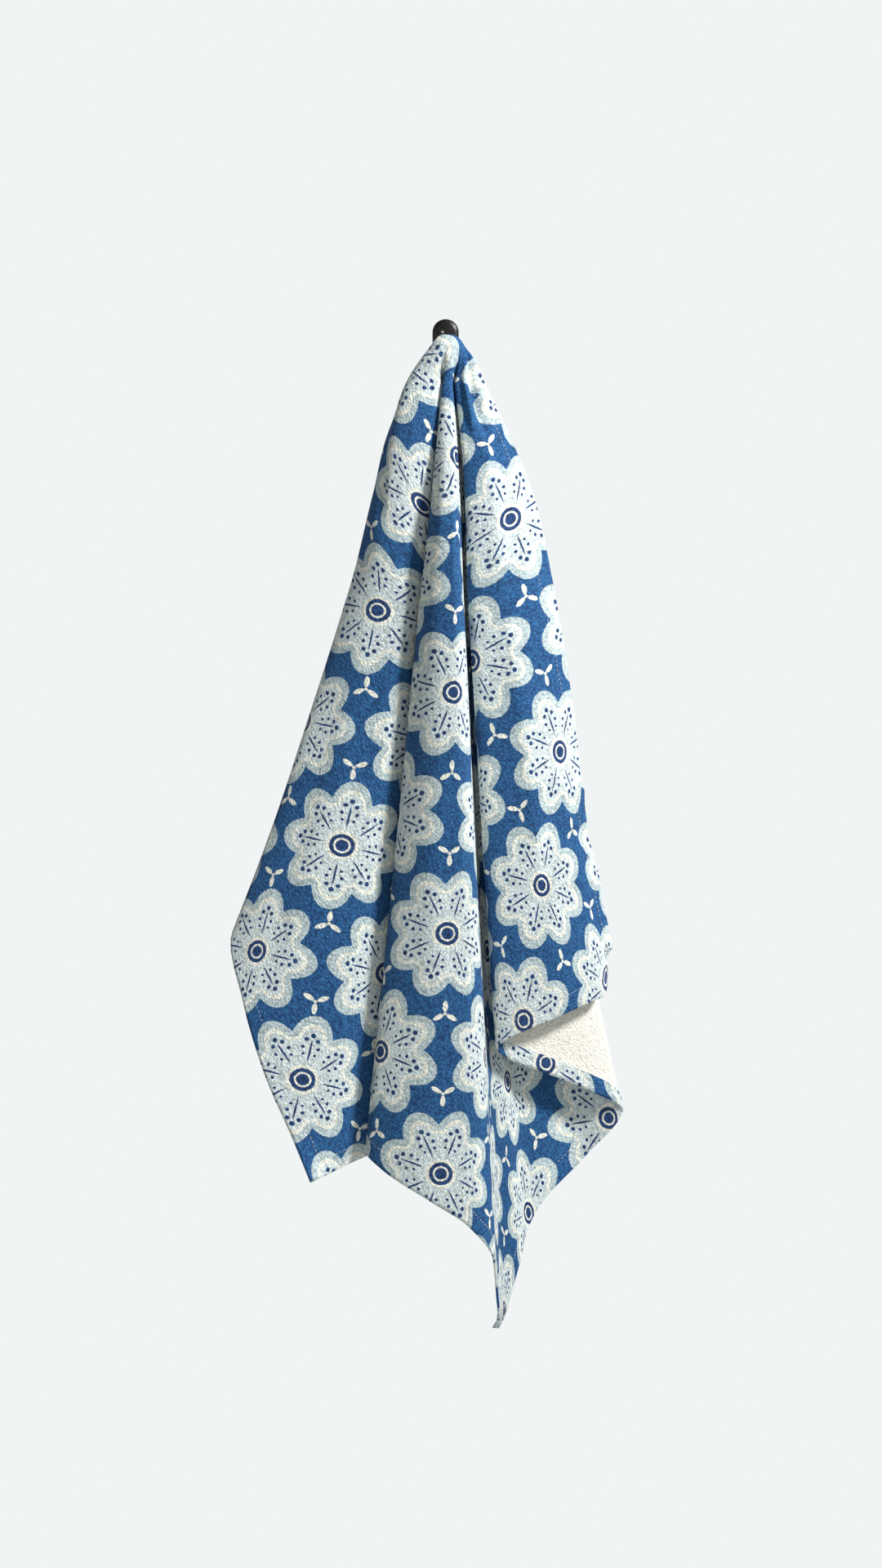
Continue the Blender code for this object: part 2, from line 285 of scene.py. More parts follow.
def rayAngles():
    c = towelCloth
    corners = [
        math.degrees(math.atan2(-c["leftOfHook"], c["short"])),
        math.degrees(math.atan2(c["long"] - c["leftOfHook"], c["short"])),
    ]
    folds = [foot[0] for foot, near in towelFolds]
    # a fold that runs beside a corner has no ray of its own
    folds = [fold for fold in folds if min(abs(fold - corner) for corner in corners) > 0.3]
    ends = sorted(corners + folds)
    rays = []
    for start, stop in zip(ends, ends[1:]):
        parts = math.ceil((stop - start) / c["rayStep"])
        rays += [start + (stop - start) * k / parts for k in range(parts)]
    return rays + [ends[-1]]


def flatPlace(angle, distance):
    over = np.radians(angle)
    return distance * np.sin(over), distance * np.cos(over)


def creaseHeight(angle, distance):
    # metres, along the cloth's face
    u, v = flatPlace(angle, distance)
    height = np.zeros_like(u)
    for (a0, d0), (a1, d1), width, rise in towelCreases:
        u0, v0 = flatPlace(a0, d0 * mm)
        u1, v1 = flatPlace(a1, d1 * mm)
        length = math.hypot(u1 - u0, v1 - v0)
        du, dv = (u1 - u0) / length, (v1 - v0) / length
        along = ((u - u0) * du + (v - v0) * dv) / length
        wander = 0.25 * width * mm * np.sin(along * 5 + a0)  # no crease is quite straight
        beside = (u - u0) * dv - (v - v0) * du + wander
        ends = smoothStep(along, 0, 0.3) * (1 - smoothStep(along, 0.6, 1))
        height += rise * mm * ends * np.exp(-((beside / (width * mm * 0.5)) ** 2))
    return height


def edgeGap(u, v):
    # how far in from the nearest edge of the flat cloth, in metres
    c = towelCloth
    return np.minimum.reduce(
        [v, c["short"] - v, u + c["leftOfHook"], c["long"] - c["leftOfHook"] - u]
    )


def puckerHeight(u, v, gap):
    # soft waves that the stitching pulls into the hem, uneven along the edge
    c = towelCloth
    wave = 2 * math.pi / c["puckerLength"]
    uneven = 0.6 + 0.4 * np.sin(u * 31 + 2) * np.sin(v * 37 + 1)
    waves = np.sin(u * wave + 1.3 * np.sin(u * 47)) * np.sin(v * wave + 1.1 * np.sin(v * 53) + 0.6)
    near = np.exp(-(((gap - 0.6 * c["hem"]) / (0.9 * c["hem"])) ** 2))
    away = smoothStep(np.hypot(u, v), *c["puckerFrom"])
    return c["pucker"] * waves * uneven * near * away


def clothGrid():
    c = towelCloth
    rays = np.array(rayAngles())
    even, power = c["stationsClose"]
    share = np.linspace(0, 1, c["stations"] + 1)[1:]
    share = even * share + (1 - even) * share**power
    hemShare = np.linspace(0, 1, c["hemRings"] + 1)[1:]
    distances = []
    for angle in rays:
        edge, hemLine = reachOf(angle), reachOf(angle, c["hem"])
        distances.append(np.append(hemLine * share, hemLine + (edge - hemLine) * hemShare))
    distance = np.array(distances)
    # each ray keeps to its fold, which lies elsewhere on the cloth near the hook
    footAngles = [foot[0] for foot, near in towelFolds]
    hookAngles = [near[0] for foot, near in towelFolds]
    atHook = np.interp(rays, footAngles, hookAngles)[:, None]
    angle = atHook + (rays[:, None] - atHook) * smoothStep(distance, *foldShape["toTheFoot"])
    return angle, distance


def clothNormals(angle, distance):
    # towards the printed face, from the shape a little way off on all sides
    step = towelCloth["normalStep"]
    swing = np.degrees(step / np.maximum(distance, 10 * step))
    low, high = np.maximum(angle - swing, -90), np.minimum(angle + swing, 90)
    across = hungPoint(high, distance) - hungPoint(low, distance)
    down = hungPoint(angle, distance + step) - hungPoint(angle, np.maximum(distance - step, 0))
    normal = np.cross(down, across)
    return normal / np.maximum(np.linalg.norm(normal, axis=-1, keepdims=True), 1e-12)


def pointOnCloth(u, v, lift=0.0):
    # the place and the face direction at flat cloth points, lifted off the printed face
    angle, distance = np.degrees(np.arctan2(u, v)), np.hypot(u, v)
    normal = clothNormals(angle, distance)
    height = creaseHeight(angle, distance) + puckerHeight(u, v, edgeGap(u, v))
    centre = hungPoint(angle, distance) + normal * height[..., None]
    return centre + normal * (towelCloth["thick"] / 2 + lift), normal


def towelPiece():
    c = towelCloth
    angle, distance = clothGrid()
    u, v = flatPlace(angle, distance)
    gap = edgeGap(u, v)
    normal = clothNormals(angle, distance)
    height = creaseHeight(angle, distance) + puckerHeight(u, v, gap)
    centre = hungPoint(angle, distance) + normal * height[..., None]
    hemmed = 1 - smoothStep(gap, c["hem"] - c["hemSlope"], c["hem"] + c["hemSlope"])
    hemmed = hemmed * smoothStep(distance, *c["hemFrom"])
    ends = (c["leftOfHook"] - c["long"], c["leftOfHook"])
    toCorner = np.minimum.reduce([np.hypot(u + end, v - c["short"]) for end in ends])
    bulk = c["cornerExtra"] * np.exp(-((toCorner / c["cornerSize"]) ** 2))
    front = centre + normal * (c["thick"] / 2 + bulk)[..., None]
    back = centre - normal * (c["thick"] / 2 + bulk + c["hemExtra"] * hemmed)[..., None]

    rays, rings = angle.shape
    hang = np.array(c["hangPoint"])
    up = np.array((0, 0, c["thick"] / 2))
    count = rays * rings
    points = [front.reshape(-1, 3), back.reshape(-1, 3), [hang + up], [hang - up]]
    flat = [np.stack((u, v), -1).reshape(-1, 2)] * 2 + [[(0, 0)]] * 2
    frontPole, backPole = 2 * count, 2 * count + 1

    # round the edge: along the first ray outward, round the rim and back along the last
    ring = [(0, j) for j in range(rings)] + [(i, rings - 1) for i in range(1, rays)]
    ring += [(rays - 1, j) for j in range(rings - 2, -1, -1)]
    rim = np.array(ring)
    middle = (front[rim[:, 0], rim[:, 1]] + back[rim[:, 0], rim[:, 1]]) / 2
    inward = np.array([(min(max(i, 1), rays - 2), min(j, rings - 2)) for i, j in ring])
    outward = centre[rim[:, 0], rim[:, 1]] - centre[inward[:, 0], inward[:, 1]]
    outward /= np.maximum(np.linalg.norm(outward, axis=-1, keepdims=True), 1e-9)
    points.append(middle + outward * c["thick"] * c["rimBulge"])
    flat.append(np.stack((u[rim[:, 0], rim[:, 1]], v[rim[:, 0], rim[:, 1]]), -1))
    rimStart = 2 * count + 2

    faces, looks = [], []  # look 0 is the printed face, 1 is the plain back

    def corner(i, j, shell):
        return i * rings + j + shell * count

    gapMiddle = (gap[:-1, :-1] + gap[1:, 1:]) / 2
    for i in range(rays - 1):
        faces += [(frontPole, corner(i, 0, 0), corner(i + 1, 0, 0))]
        faces += [(backPole, corner(i + 1, 0, 1), corner(i, 0, 1))]
        looks += [0, 1]
        for j in range(rings - 1):
            a, b = corner(i, j, 0), corner(i, j + 1, 0)
            d, e = corner(i + 1, j + 1, 0), corner(i + 1, j, 0)
            faces += [(a, b, d, e), (e + count, d + count, b + count, a + count)]
            looks += [0, 0 if gapMiddle[i, j] < c["hem"] else 1]
    frontRim = [corner(i, j, 0) for i, j in ring]
    for k in range(len(ring) - 1):
        a, b = frontRim[k], frontRim[k + 1]
        m, n = rimStart + k, rimStart + k + 1
        faces += [(a, m, n, b), (m, a + count, b + count, n)]
        looks += [0, 0]
    # close the notch between the two held edges, at the hang point
    first, last = rimStart, rimStart + len(ring) - 1
    faces += [
        (frontPole, frontRim[-1], last),
        (frontPole, last, first),
        (frontPole, first, frontRim[0]),
        (backPole, last, frontRim[-1] + count),
        (backPole, first, last),
        (backPole, frontRim[0] + count, first),
    ]
    looks += [0] * 6

    mesh = bpy.data.meshes.new("towelCloth")
    mesh.from_pydata(np.concatenate(points).tolist(), [], faces)
    mesh.polygons.foreach_set("material_index", looks)
    mesh.shade_smooth()
    places = np.concatenate(flat)
    corners = np.zeros(len(mesh.loops), dtype=np.int32)
    mesh.loops.foreach_get("vertex_index", corners)
    layer = mesh.uv_layers.new(name="clothPlace")
    layer.uv.foreach_set("vector", places[corners].astype(np.float32).ravel())
    mesh.update()
    obj = bpy.data.objects.new("towelCloth", mesh)
    bpy.context.scene.collection.objects.link(obj)
    return obj


# Hem stitching: the thread shows as short dashes along the seam
hemStitches = {
    "inset": 9.8 * mm,
    "pitch": 2.9 * mm,
    "length": 2.0 * mm,
    "radius": 0.19 * mm,
    "sink": 0.06 * mm,
    "sides": 5,
    "shape": ((0, 0.25), (0.16, 0.9), (0.5, 1.15), (0.84, 0.9), (1, 0.25)),  # share of length, of radius
    "gatheredWithin": 28 * mm,  # no stitch shows so near the hook, where the seam is gathered tight
    "drift": (0.35 * mm, 0.2 * mm),  # a hand-guided seam wanders slowly, and a little at each stitch
}


def stitchPiece():
    c, s = towelCloth, hemStitches
    left, right = -c["leftOfHook"] + s["inset"], c["long"] - c["leftOfHook"] - s["inset"]
    near, far = s["inset"], c["short"] - s["inset"]
    corners = [(left, near), (left, far), (right, far), (right, near), (left, near)]
    starts, ends = [], []
    for (u0, v0), (u1, v1) in zip(corners, corners[1:]):
        length = math.hypot(u1 - u0, v1 - v0)
        du, dv = (u1 - u0) / length, (v1 - v0) / length
        for k in range(int(length / s["pitch"])):
            at = (k + 0.5) * s["pitch"]
            slow, quick = s["drift"]
            drift = slow * math.sin(at * 40 + u0 * 9) + quick * math.sin(at * 173)
            u, v = u0 + du * at + dv * drift, v0 + dv * at - du * drift
            if math.hypot(u, v) < s["gatheredWithin"]:
                continue
            half = s["length"] / 2
            starts.append((u - du * half, v - dv * half))
            ends.append((u + du * half, v + dv * half))
    starts, ends = np.array(starts), np.array(ends)
    sides, steps = s["sides"], s["shape"]
    fullest = max(swell for share, swell in steps)
    points, faces, rows = [], [], []
    for share, swell in steps:
        place = starts + (ends - starts) * share
        lift = s["radius"] * (swell - fullest) - s["sink"]
        centre, normal = pointOnCloth(place[:, 0], place[:, 1], lift)
        rows.append((centre, normal, swell))
    run = rows[-1][0] - rows[0][0]
    run /= np.linalg.norm(run, axis=-1, keepdims=True)
    for centre, normal, swell in rows:
        beside = np.cross(run, normal)
        beside /= np.linalg.norm(beside, axis=-1, keepdims=True)
        for k in range(sides):
            around = math.tau * k / sides
            reach = beside * math.cos(around) + normal * math.sin(around)
            points.append(centre + reach * s["radius"] * swell)
    count = len(starts)
    for n in range(count):
        for row in range(len(steps) - 1):
            for k in range(sides):
                nxt = (k + 1) % sides
                a, b = (row * sides + k) * count + n, (row * sides + nxt) * count + n
                faces.append((a, a + sides * count, b + sides * count, b))
        faces.append([k * count + n for k in range(sides)])
        end = (len(steps) - 1) * sides
        faces.append([(end + k) * count + n for k in reversed(range(sides))])
    mesh = bpy.data.meshes.new("hemStitches")
    mesh.from_pydata(np.concatenate(points).tolist(), [], faces)
    mesh.shade_smooth()
    obj = bpy.data.objects.new("hemStitches", mesh)
    bpy.context.scene.collection.objects.link(obj)
    return obj


def linearColour(hexValue):
    parts = [int(hexValue[k:k + 2], 16) / 255 for k in (1, 3, 5)]
    return tuple(p / 12.92 if p <= 0.04045 else ((p + 0.055) / 1.055) ** 2.4 for p in parts) + (1,)


def addNode(tree, kind, settings=None, inputs=None):
    # inputs are by name or number, and each is a value or another node's socket
    node = tree.nodes.new(kind)
    for name, value in (settings or {}).items():
        setattr(node, name, value)
    for name, value in (inputs or {}).items():
        if isinstance(value, bpy.types.NodeSocket):
            tree.links.new(value, node.inputs[name])
        else:
            node.inputs[name].default_value = value
    return node


def newMaterial(name):
    made = bpy.data.materials.new(name)
    made.use_nodes = True
    made.node_tree.nodes.clear()
    return made, made.node_tree


# The print: daisies in a half-drop layout, with a sprig of leaves wherever three daisies meet
daisyPrint = {
    "across": 75 * mm,  # between two columns
    "drop": 86.6 * mm,  # between two daisies of a column
    "shift": (-26 * mm, 21 * mm),  # of the whole layout, from the hang point
    "petals": 8,
    "turn": 11,  # degrees, of each daisy
    "petalMiddle": (23.5 * mm, 0, 0),  # out from the daisy's centre
    "petalHalf": (17.6 * mm, 12 * mm, 1),  # half a petal's length and width
    "petalSlope": 13 * mm,  # how fast a petal's outline grows
    "round": 31 * mm,  # the petals grow out of a round this big
    "outlines": ((0, "rim"), (-4 * mm, "cream"), (-6 * mm, "pale")),
    "veinMiddle": (18.6 * mm, 0, 0),
    "veinHalf": (7 * mm, 0.62 * mm, 1),
    # a vein's dots in mm: how far out, how far beside the vein, and half the dot's width
    "dots": ((28.5, 0, 1.5), (25.5, 3.2, 1.3), (20.5, 4.3, 1.1), (16.2, 3.2, 0.9)),
    "eye": ((9.3 * mm, "cream"), (7.2 * mm, "navy")),
    "eyeRing": (4.2 * mm, 0.6 * mm),  # its radius and half its width
    "leafMiddle": (4.6 * mm, 0, 0),
    "leafHalf": (3.4 * mm, 1.5 * mm, 1),
    "sprigHeart": 1 * mm,
    "bleed": 0.33 * mm,  # how softly the dye ends
    "ragged": 0.7 * mm,  # how far the threads carry an edge
    "raggedScale": 420.0,  # waves in it about 2.4 mm long
    "paintedWeaveShade": (0.74, 1.24),  # painted shade in the weave's gaps and painted highlight on its threads, as the ink's brightness there
    "inks": {
        "ground": "#205a8a",
        "pale": "#cdd7d7",
        "rim": "#b8c6c8",
        "cream": "#e6e6da",
        "navy": "#1b4272",
    },
}


def fromNearest(tree, place, start):
    # the way from the nearest repeat of the half-drop layout: two sets of bricks, the nearer wins
    half = (daisyPrint["across"], daisyPrint["drop"] / 2, 1)
    lowest = [-h for h in half]
    found = []
    for brick in (0, 1):
        first = (start[0] + brick * half[0], start[1] + brick * half[1], 0)
        apart = addNode(tree, "ShaderNodeVectorMath", {"operation": "SUBTRACT"}, {0: place, 1: first})
        inBrick = addNode(
            tree, "ShaderNodeVectorMath", {"operation": "WRAP"}, {0: apart.outputs[0], 1: half, 2: lowest}
        )
        away = addNode(tree, "ShaderNodeVectorMath", {"operation": "LENGTH"}, {0: inBrick.outputs[0]})
        found.append((inBrick.outputs[0], away.outputs[1]))
    (one, awayOne), (other, awayOther) = found
    nearer = addNode(tree, "ShaderNodeMath", {"operation": "LESS_THAN"}, {0: awayOne, 1: awayOther})
    chosen = addNode(
        tree, "ShaderNodeMix", {"data_type": "VECTOR"}, {0: nearer.outputs[0], 4: other, 5: one}
    )
    return chosen.outputs[1]


def foldedSlice(tree, spot, count, turn):
    # a round of count like parts, folded into half of one: how far out, and how far beside its middle
    split = addNode(tree, "ShaderNodeSeparateXYZ", None, {0: spot})
    angle = addNode(
        tree, "ShaderNodeMath", {"operation": "ARCTAN2"}, {0: split.outputs[1], 1: split.outputs[0]}
    )
    turned = addNode(tree, "ShaderNodeMath", {"operation": "ADD"}, {0: angle.outputs[0], 1: turn})
    inSlice = addNode(
        tree, "ShaderNodeMath", {"operation": "WRAP"},
        {0: turned.outputs[0], 1: math.pi / count, 2: -math.pi / count},
    )
    away = addNode(tree, "ShaderNodeVectorMath", {"operation": "LENGTH"}, {0: spot})
    straight = addNode(tree, "ShaderNodeCombineXYZ", None, {0: away.outputs[1]})
    swung = addNode(
        tree, "ShaderNodeVectorRotate", {"rotation_type": "Z_AXIS"},
        {"Vector": straight.outputs[0], "Angle": inSlice.outputs[0]},
    )
    folded = addNode(tree, "ShaderNodeVectorMath", {"operation": "ABSOLUTE"}, {0: swung.outputs[0]})
    return folded.outputs[0], away.outputs[1]


def ovalField(tree, spot, middle, half):
    # 1 on the oval's edge, less inside it
    apart = addNode(tree, "ShaderNodeVectorMath", {"operation": "SUBTRACT"}, {0: spot, 1: middle})
    scaled = addNode(tree, "ShaderNodeVectorMath", {"operation": "DIVIDE"}, {0: apart.outputs[0], 1: half})
    field = addNode(tree, "ShaderNodeVectorMath", {"operation": "LENGTH"}, {0: scaled.outputs[0]})
    return field.outputs[1]


def printOver(tree, below, ink, field, edge, soft):
    # one more ink over the colour below, where the field is less than its edge
    share = addNode(
        tree, "ShaderNodeMapRange", {"interpolation_type": "SMOOTHSTEP"},
        {"Value": field, "From Min": edge - soft, "From Max": edge + soft, "To Min": 1.0, "To Max": 0.0},
    )
    inked = addNode(
        tree, "ShaderNodeMix", {"data_type": "RGBA"},
        {0: share.outputs[0], 6: below, 7: linearColour(daisyPrint["inks"][ink])},
    )
    return inked.outputs[2]


def raggedPlace(tree, place):
    # the threads carry the dye a little, so that no edge of the print is ruled
    noise = addNode(
        tree, "ShaderNodeTexNoise", None,
        {"Vector": place.outputs[0], "Scale": daisyPrint["raggedScale"], "Detail": 2.0},
    )
    centred = addNode(
        tree, "ShaderNodeVectorMath", {"operation": "SUBTRACT"}, {0: noise.outputs[1], 1: (0.5, 0.5, 0.5)}
    )
    ragged = (daisyPrint["ragged"], daisyPrint["ragged"], 0)
    moved = addNode(
        tree, "ShaderNodeVectorMath", {"operation": "MULTIPLY_ADD"},
        {0: centred.outputs[0], 1: ragged, 2: place.outputs[0]},
    )
    return moved.outputs[0]


def printColour(tree, place):
    p = daisyPrint
    bleed = p["bleed"]
    place = raggedPlace(tree, place)
    spot = fromNearest(tree, place, p["shift"])
    petal, away = foldedSlice(tree, spot, p["petals"], math.radians(p["turn"]))
    petalOval = ovalField(tree, petal, p["petalMiddle"], p["petalHalf"])
    beyondPetal = addNode(
        tree, "ShaderNodeMath", {"operation": "MULTIPLY_ADD"},
        {0: petalOval, 1: p["petalSlope"], 2: -p["petalSlope"]},
    )
    beyondRound = addNode(tree, "ShaderNodeMath", {"operation": "SUBTRACT"}, {0: away, 1: p["round"]})
    outline = addNode(
        tree, "ShaderNodeMath", {"operation": "MINIMUM"},
        {0: beyondPetal.outputs[0], 1: beyondRound.outputs[0]},
    )
    colour = linearColour(p["inks"]["ground"])
    for edge, ink in p["outlines"]:
        colour = printOver(tree, colour, ink, outline.outputs[0], edge, bleed)

    # each petal has a fine vein with seven dots round its end
    vein = ovalField(tree, petal, p["veinMiddle"], p["veinHalf"])
    colour = printOver(tree, colour, "navy", vein, 1.0, 0.25)
    for out, beside, size in p["dots"]:
        dot = ovalField(tree, petal, (out * mm, beside * mm, 0), (size * mm, size * mm, 1))
        colour = printOver(tree, colour, "navy", dot, 1.0, 0.2)

    for edge, ink in p["eye"]:
        colour = printOver(tree, colour, ink, away, edge, bleed)
    ringRadius, ringHalf = p["eyeRing"]
    ring = addNode(tree, "ShaderNodeMath", {"operation": "SUBTRACT"}, {0: away, 1: ringRadius})
    ring = addNode(tree, "ShaderNodeMath", {"operation": "ABSOLUTE"}, {0: ring.outputs[0]})
    colour = printOver(tree, colour, "cream", ring.outputs[0], ringHalf, bleed * 0.7)

    for side in (1, -1):
        start = (p["shift"][0] + side * p["across"] / 3, p["shift"][1] + p["drop"] / 2)
        spot = fromNearest(tree, place, start)
        leaf, away = foldedSlice(tree, spot, 3, 0.0 if side > 0 else math.pi / 3)
        leafOval = ovalField(tree, leaf, p["leafMiddle"], p["leafHalf"])
        colour = printOver(tree, colour, "cream", leafOval, 1.0, 0.12)
        colour = printOver(tree, colour, "cream", away, p["sprigHeart"], bleed)
    return colour


# The weave: a crepe of uneven pebbles over slubby threads
crepeWeave = {
    "pebbles": (1 / (1.3 * mm), 1 / (1.7 * mm), 1),  # pebbles 1.3 by 1.7 mm
    "threads": ((1400.0, 260.0, 1.0), (260.0, 1400.0, 1.0)),  # threads 0.7 mm wide, slubs 4 mm long
    "pebbleDepth": -0.9,
    "heights": (0.2, 1.0),  # the lowest gaps and the highest threads
    "dyeDepthAndShade": (1.32, 0.9),  # how far the dye gathers in the gaps and wears off the threads, which also paints shade into the gaps and highlight onto the threads
    "bump": 0.6 * mm,  # drawn deeper than the real 0.2 mm, so that it shows
}


def weaveHeight(tree, place):
    w = crepeWeave
    threads = []
    for scale in w["threads"]:
        drawn = addNode(tree, "ShaderNodeMapping", None, {"Vector": place.outputs[0], "Scale": scale})
        slubs = addNode(
            tree, "ShaderNodeTexNoise", None,
            {"Vector": drawn.outputs[0], "Scale": 1.0, "Detail": 3.0, "Roughness": 0.6},
        )
        threads.append(slubs.outputs[0])
    crossed = addNode(tree, "ShaderNodeMath", {"operation": "ADD"}, {0: threads[0], 1: threads[1]})
    shrunk = addNode(tree, "ShaderNodeMapping", None, {"Vector": place.outputs[0], "Scale": w["pebbles"]})
    pebbles = addNode(
        tree, "ShaderNodeTexVoronoi", {"feature": "SMOOTH_F1"},
        {"Vector": shrunk.outputs[0], "Scale": 1.0, "Smoothness": 0.7},
    )
    height = addNode(
        tree, "ShaderNodeMath", {"operation": "MULTIPLY_ADD"},
        {0: pebbles.outputs[0], 1: w["pebbleDepth"], 2: crossed.outputs[0]},
    )
    return height.outputs[0], crossed.outputs[0]


def clothShader(tree, colour, height, threads, paintedWeaveShade):
    # the dye is deeper in the gaps of the weave, and the ink is painted darker there and lighter on the
    # threads: painted shade and painted highlight
    w = crepeWeave
    lowest, highest = w["heights"]
    deepestDyeAndShade, thinnestDyeAndHighlight = w["dyeDepthAndShade"]
    paintedGapShade, paintedThreadHighlight = paintedWeaveShade
    depth = addNode(
        tree, "ShaderNodeMapRange", None,
        {"Value": height, "From Min": lowest, "From Max": highest, "To Min": deepestDyeAndShade, "To Max": thinnestDyeAndHighlight},
    )
    # ink darker in the gaps and lighter on the threads: dye gathered in the gaps, with painted shade and
    # painted highlight
    dyedAndShaded = addNode(tree, "ShaderNodeGamma", None, {"Color": colour, "Gamma": depth.outputs[0]})
    # painted shade in the gaps and painted highlight on the threads, from the weave's height
    paintedWeaveShading = addNode(
        tree, "ShaderNodeMapRange", None,
        {"Value": height, "From Min": lowest, "From Max": highest, "To Min": paintedGapShade, "To Max": paintedThreadHighlight},
    )
    toned = addNode(
        tree, "ShaderNodeMix", {"data_type": "RGBA", "blend_type": "MULTIPLY"},
        {0: 1.0, 6: dyedAndShaded.outputs[0], 7: paintedWeaveShading.outputs[0]},
    )
    rough = addNode(
        tree, "ShaderNodeMapRange", None,
        {"Value": threads, "From Min": 0.6, "From Max": 1.4, "To Min": 0.92, "To Max": 0.78},
    )
    bump = addNode(tree, "ShaderNodeBump", None, {"Height": height, "Distance": w["bump"], "Strength": 0.9})
    shader = addNode(
        tree, "ShaderNodeBsdfPrincipled", None,
        {"Base Color": toned.outputs[2], "Roughness": rough.outputs[0], "Normal": bump.outputs[0],
         "IOR": 1.45, "Sheen Weight": 0.05, "Sheen Roughness": 0.5},
    )
    addNode(tree, "ShaderNodeOutputMaterial", None, {"Surface": shader.outputs[0]})


def printedCottonCrepe():
    # pigment printed on one side of a crepe weave: matt, pebbly, with a faint fibre glow
    made, tree = newMaterial("printedCottonCrepe")
    place = addNode(tree, "ShaderNodeUVMap", {"uv_map": "clothPlace"})
    height, threads = weaveHeight(tree, place)
    clothShader(tree, printColour(tree, place), height, threads, daisyPrint["paintedWeaveShade"])
    return made


# The cloth's back, where the print doesn't come through
rawCotton = {
    "cotton": "#ebe8dd",
    "fleck": "#a8997c",
    "fleckScale": 260.0,  # flecks about 1 mm, 4 mm apart
    # painted shade in the weave's gaps and painted highlight on its threads
    "paintedWeaveShade": (0.84, 1.1),
}


def unprintedCottonCrepe():
    # the undyed back of the same cloth: cream, with a few brown flecks of seed in the yarn
    r = rawCotton
    made, tree = newMaterial("unprintedCottonCrepe")
    place = addNode(tree, "ShaderNodeUVMap", {"uv_map": "clothPlace"})
    height, threads = weaveHeight(tree, place)
    flecks = addNode(
        tree, "ShaderNodeTexNoise", None,
        {"Vector": place.outputs[0], "Scale": r["fleckScale"], "Detail": 2.0},
    )
    spots = addNode(
        tree, "ShaderNodeMapRange", None,
        {"Value": flecks.outputs[0], "From Min": 0.74, "From Max": 0.8, "To Min": 0.0, "To Max": 0.6},
    )
    cotton = addNode(
        tree, "ShaderNodeMix", {"data_type": "RGBA"},
        {0: spots.outputs[0], 6: linearColour(r["cotton"]), 7: linearColour(r["fleck"])},
    )
    clothShader(tree, cotton.outputs[2], height, threads, r["paintedWeaveShade"])
    return made


# The sewing thread: two plies, twisted about once in 0.7 mm
seamThread = {
    "shadow": "#b3a394",
    "light": "#d3c6b8",
    "twistScale": 1500.0,
    "twistDepth": 0.08 * mm,
    "roughness": 0.55,
}


def polyesterThread():
    # twisted polyester: pale beige, a little smoother than the cloth, dark between its plies
    t = seamThread
    made, tree = newMaterial("polyesterThread")
    spot = addNode(tree, "ShaderNodeNewGeometry")
    twist = addNode(
        tree, "ShaderNodeTexNoise", None,
        {"Vector": spot.outputs[0], "Scale": t["twistScale"], "Detail": 2.0},
    )
    plies = addNode(
        tree, "ShaderNodeMix", {"data_type": "RGBA"},
        {0: twist.outputs[0], 6: linearColour(t["shadow"]), 7: linearColour(t["light"])},
    )
    bump = addNode(
        tree, "ShaderNodeBump", None,
        {"Height": twist.outputs[0], "Distance": t["twistDepth"], "Strength": 0.6},
    )
    shader = addNode(
        tree, "ShaderNodeBsdfPrincipled", None,
        {"Base Color": plies.outputs[2], "Roughness": t["roughness"], "Normal": bump.outputs[0],
         "Sheen Weight": 0.1},
    )
    addNode(tree, "ShaderNodeOutputMaterial", None, {"Surface": shader.outputs[0]})
    return made


# The hook's lacquer
hookLacquer = {
    "black": "#050505",
    "dusty": "#131212",
    "roughness": (0.3, 0.5),  # where it is clean, and where dust has settled
    "dustScale": 900.0,  # specks about 1 mm
    "waveScale": 160.0,  # the lacquer pooled in waves about 6 mm long
    "waveDepth": 0.25 * mm,
}


def blackLacqueredSteel():
    # stove-lacquered: satin black with slow waves, and a faint grey where dust has settled
    h = hookLacquer
    made, tree = newMaterial("blackLacqueredSteel")
    spot = addNode(tree, "ShaderNodeNewGeometry")
    waves = addNode(
        tree, "ShaderNodeTexNoise", None,
        {"Vector": spot.outputs[0], "Scale": h["waveScale"], "Detail": 2.0},
    )
    dust = addNode(
        tree, "ShaderNodeTexNoise", None,
        {"Vector": spot.outputs[0], "Scale": h["dustScale"], "Detail": 3.0},
    )
    clean, dusty = h["roughness"]
    rough = addNode(
        tree, "ShaderNodeMapRange", None,
        {"Value": dust.outputs[0], "From Min": 0.3, "From Max": 0.75, "To Min": clean, "To Max": dusty},
    )
    tone = addNode(
        tree, "ShaderNodeMix", {"data_type": "RGBA"},
        {0: dust.outputs[0], 6: linearColour(h["black"]), 7: linearColour(h["dusty"])},
    )
    bump = addNode(
        tree, "ShaderNodeBump", None,
        {"Height": waves.outputs[0], "Distance": h["waveDepth"], "Strength": 0.25},
    )
    shader = addNode(
        tree, "ShaderNodeBsdfPrincipled", None,
        {"Base Color": tone.outputs[2], "Roughness": rough.outputs[0], "Normal": bump.outputs[0],
         "IOR": 1.5, "Specular IOR Level": 0.38, "Coat Weight": 0.1, "Coat Roughness": 0.2},
    )
    addNode(tree, "ShaderNodeOutputMaterial", None, {"Surface": shader.outputs[0]})
    return made


# Studio: one soft light from the upper right, a pale floor, and a pale room that is dimmer above
studio = {
    "floorHeight": -1.45,
    "floorRadius": 2.3,
    "floorPaint": "#dde0e0",
    "rollerScale": 300.0,
    "rollerDepth": 0.2 * mm,
    "worldColour": "#f3f6f6",
    "worldAround": 0.5,
    "worldAbove": 0.2,
    "worldBehind": 0.98,  # behind the towel
    "aroundTo": (0.2, 0.5),  # sine of the angle up, where the room starts to dim and where it ends
    "behindFrom": (0.1, 0.92),  # the same towards the back
    "key": {"at": (1.75, -1.25, 1.45), "size": 0.5, "watts": 130},
    "aim": (0.0, -0.03, -0.28),
}


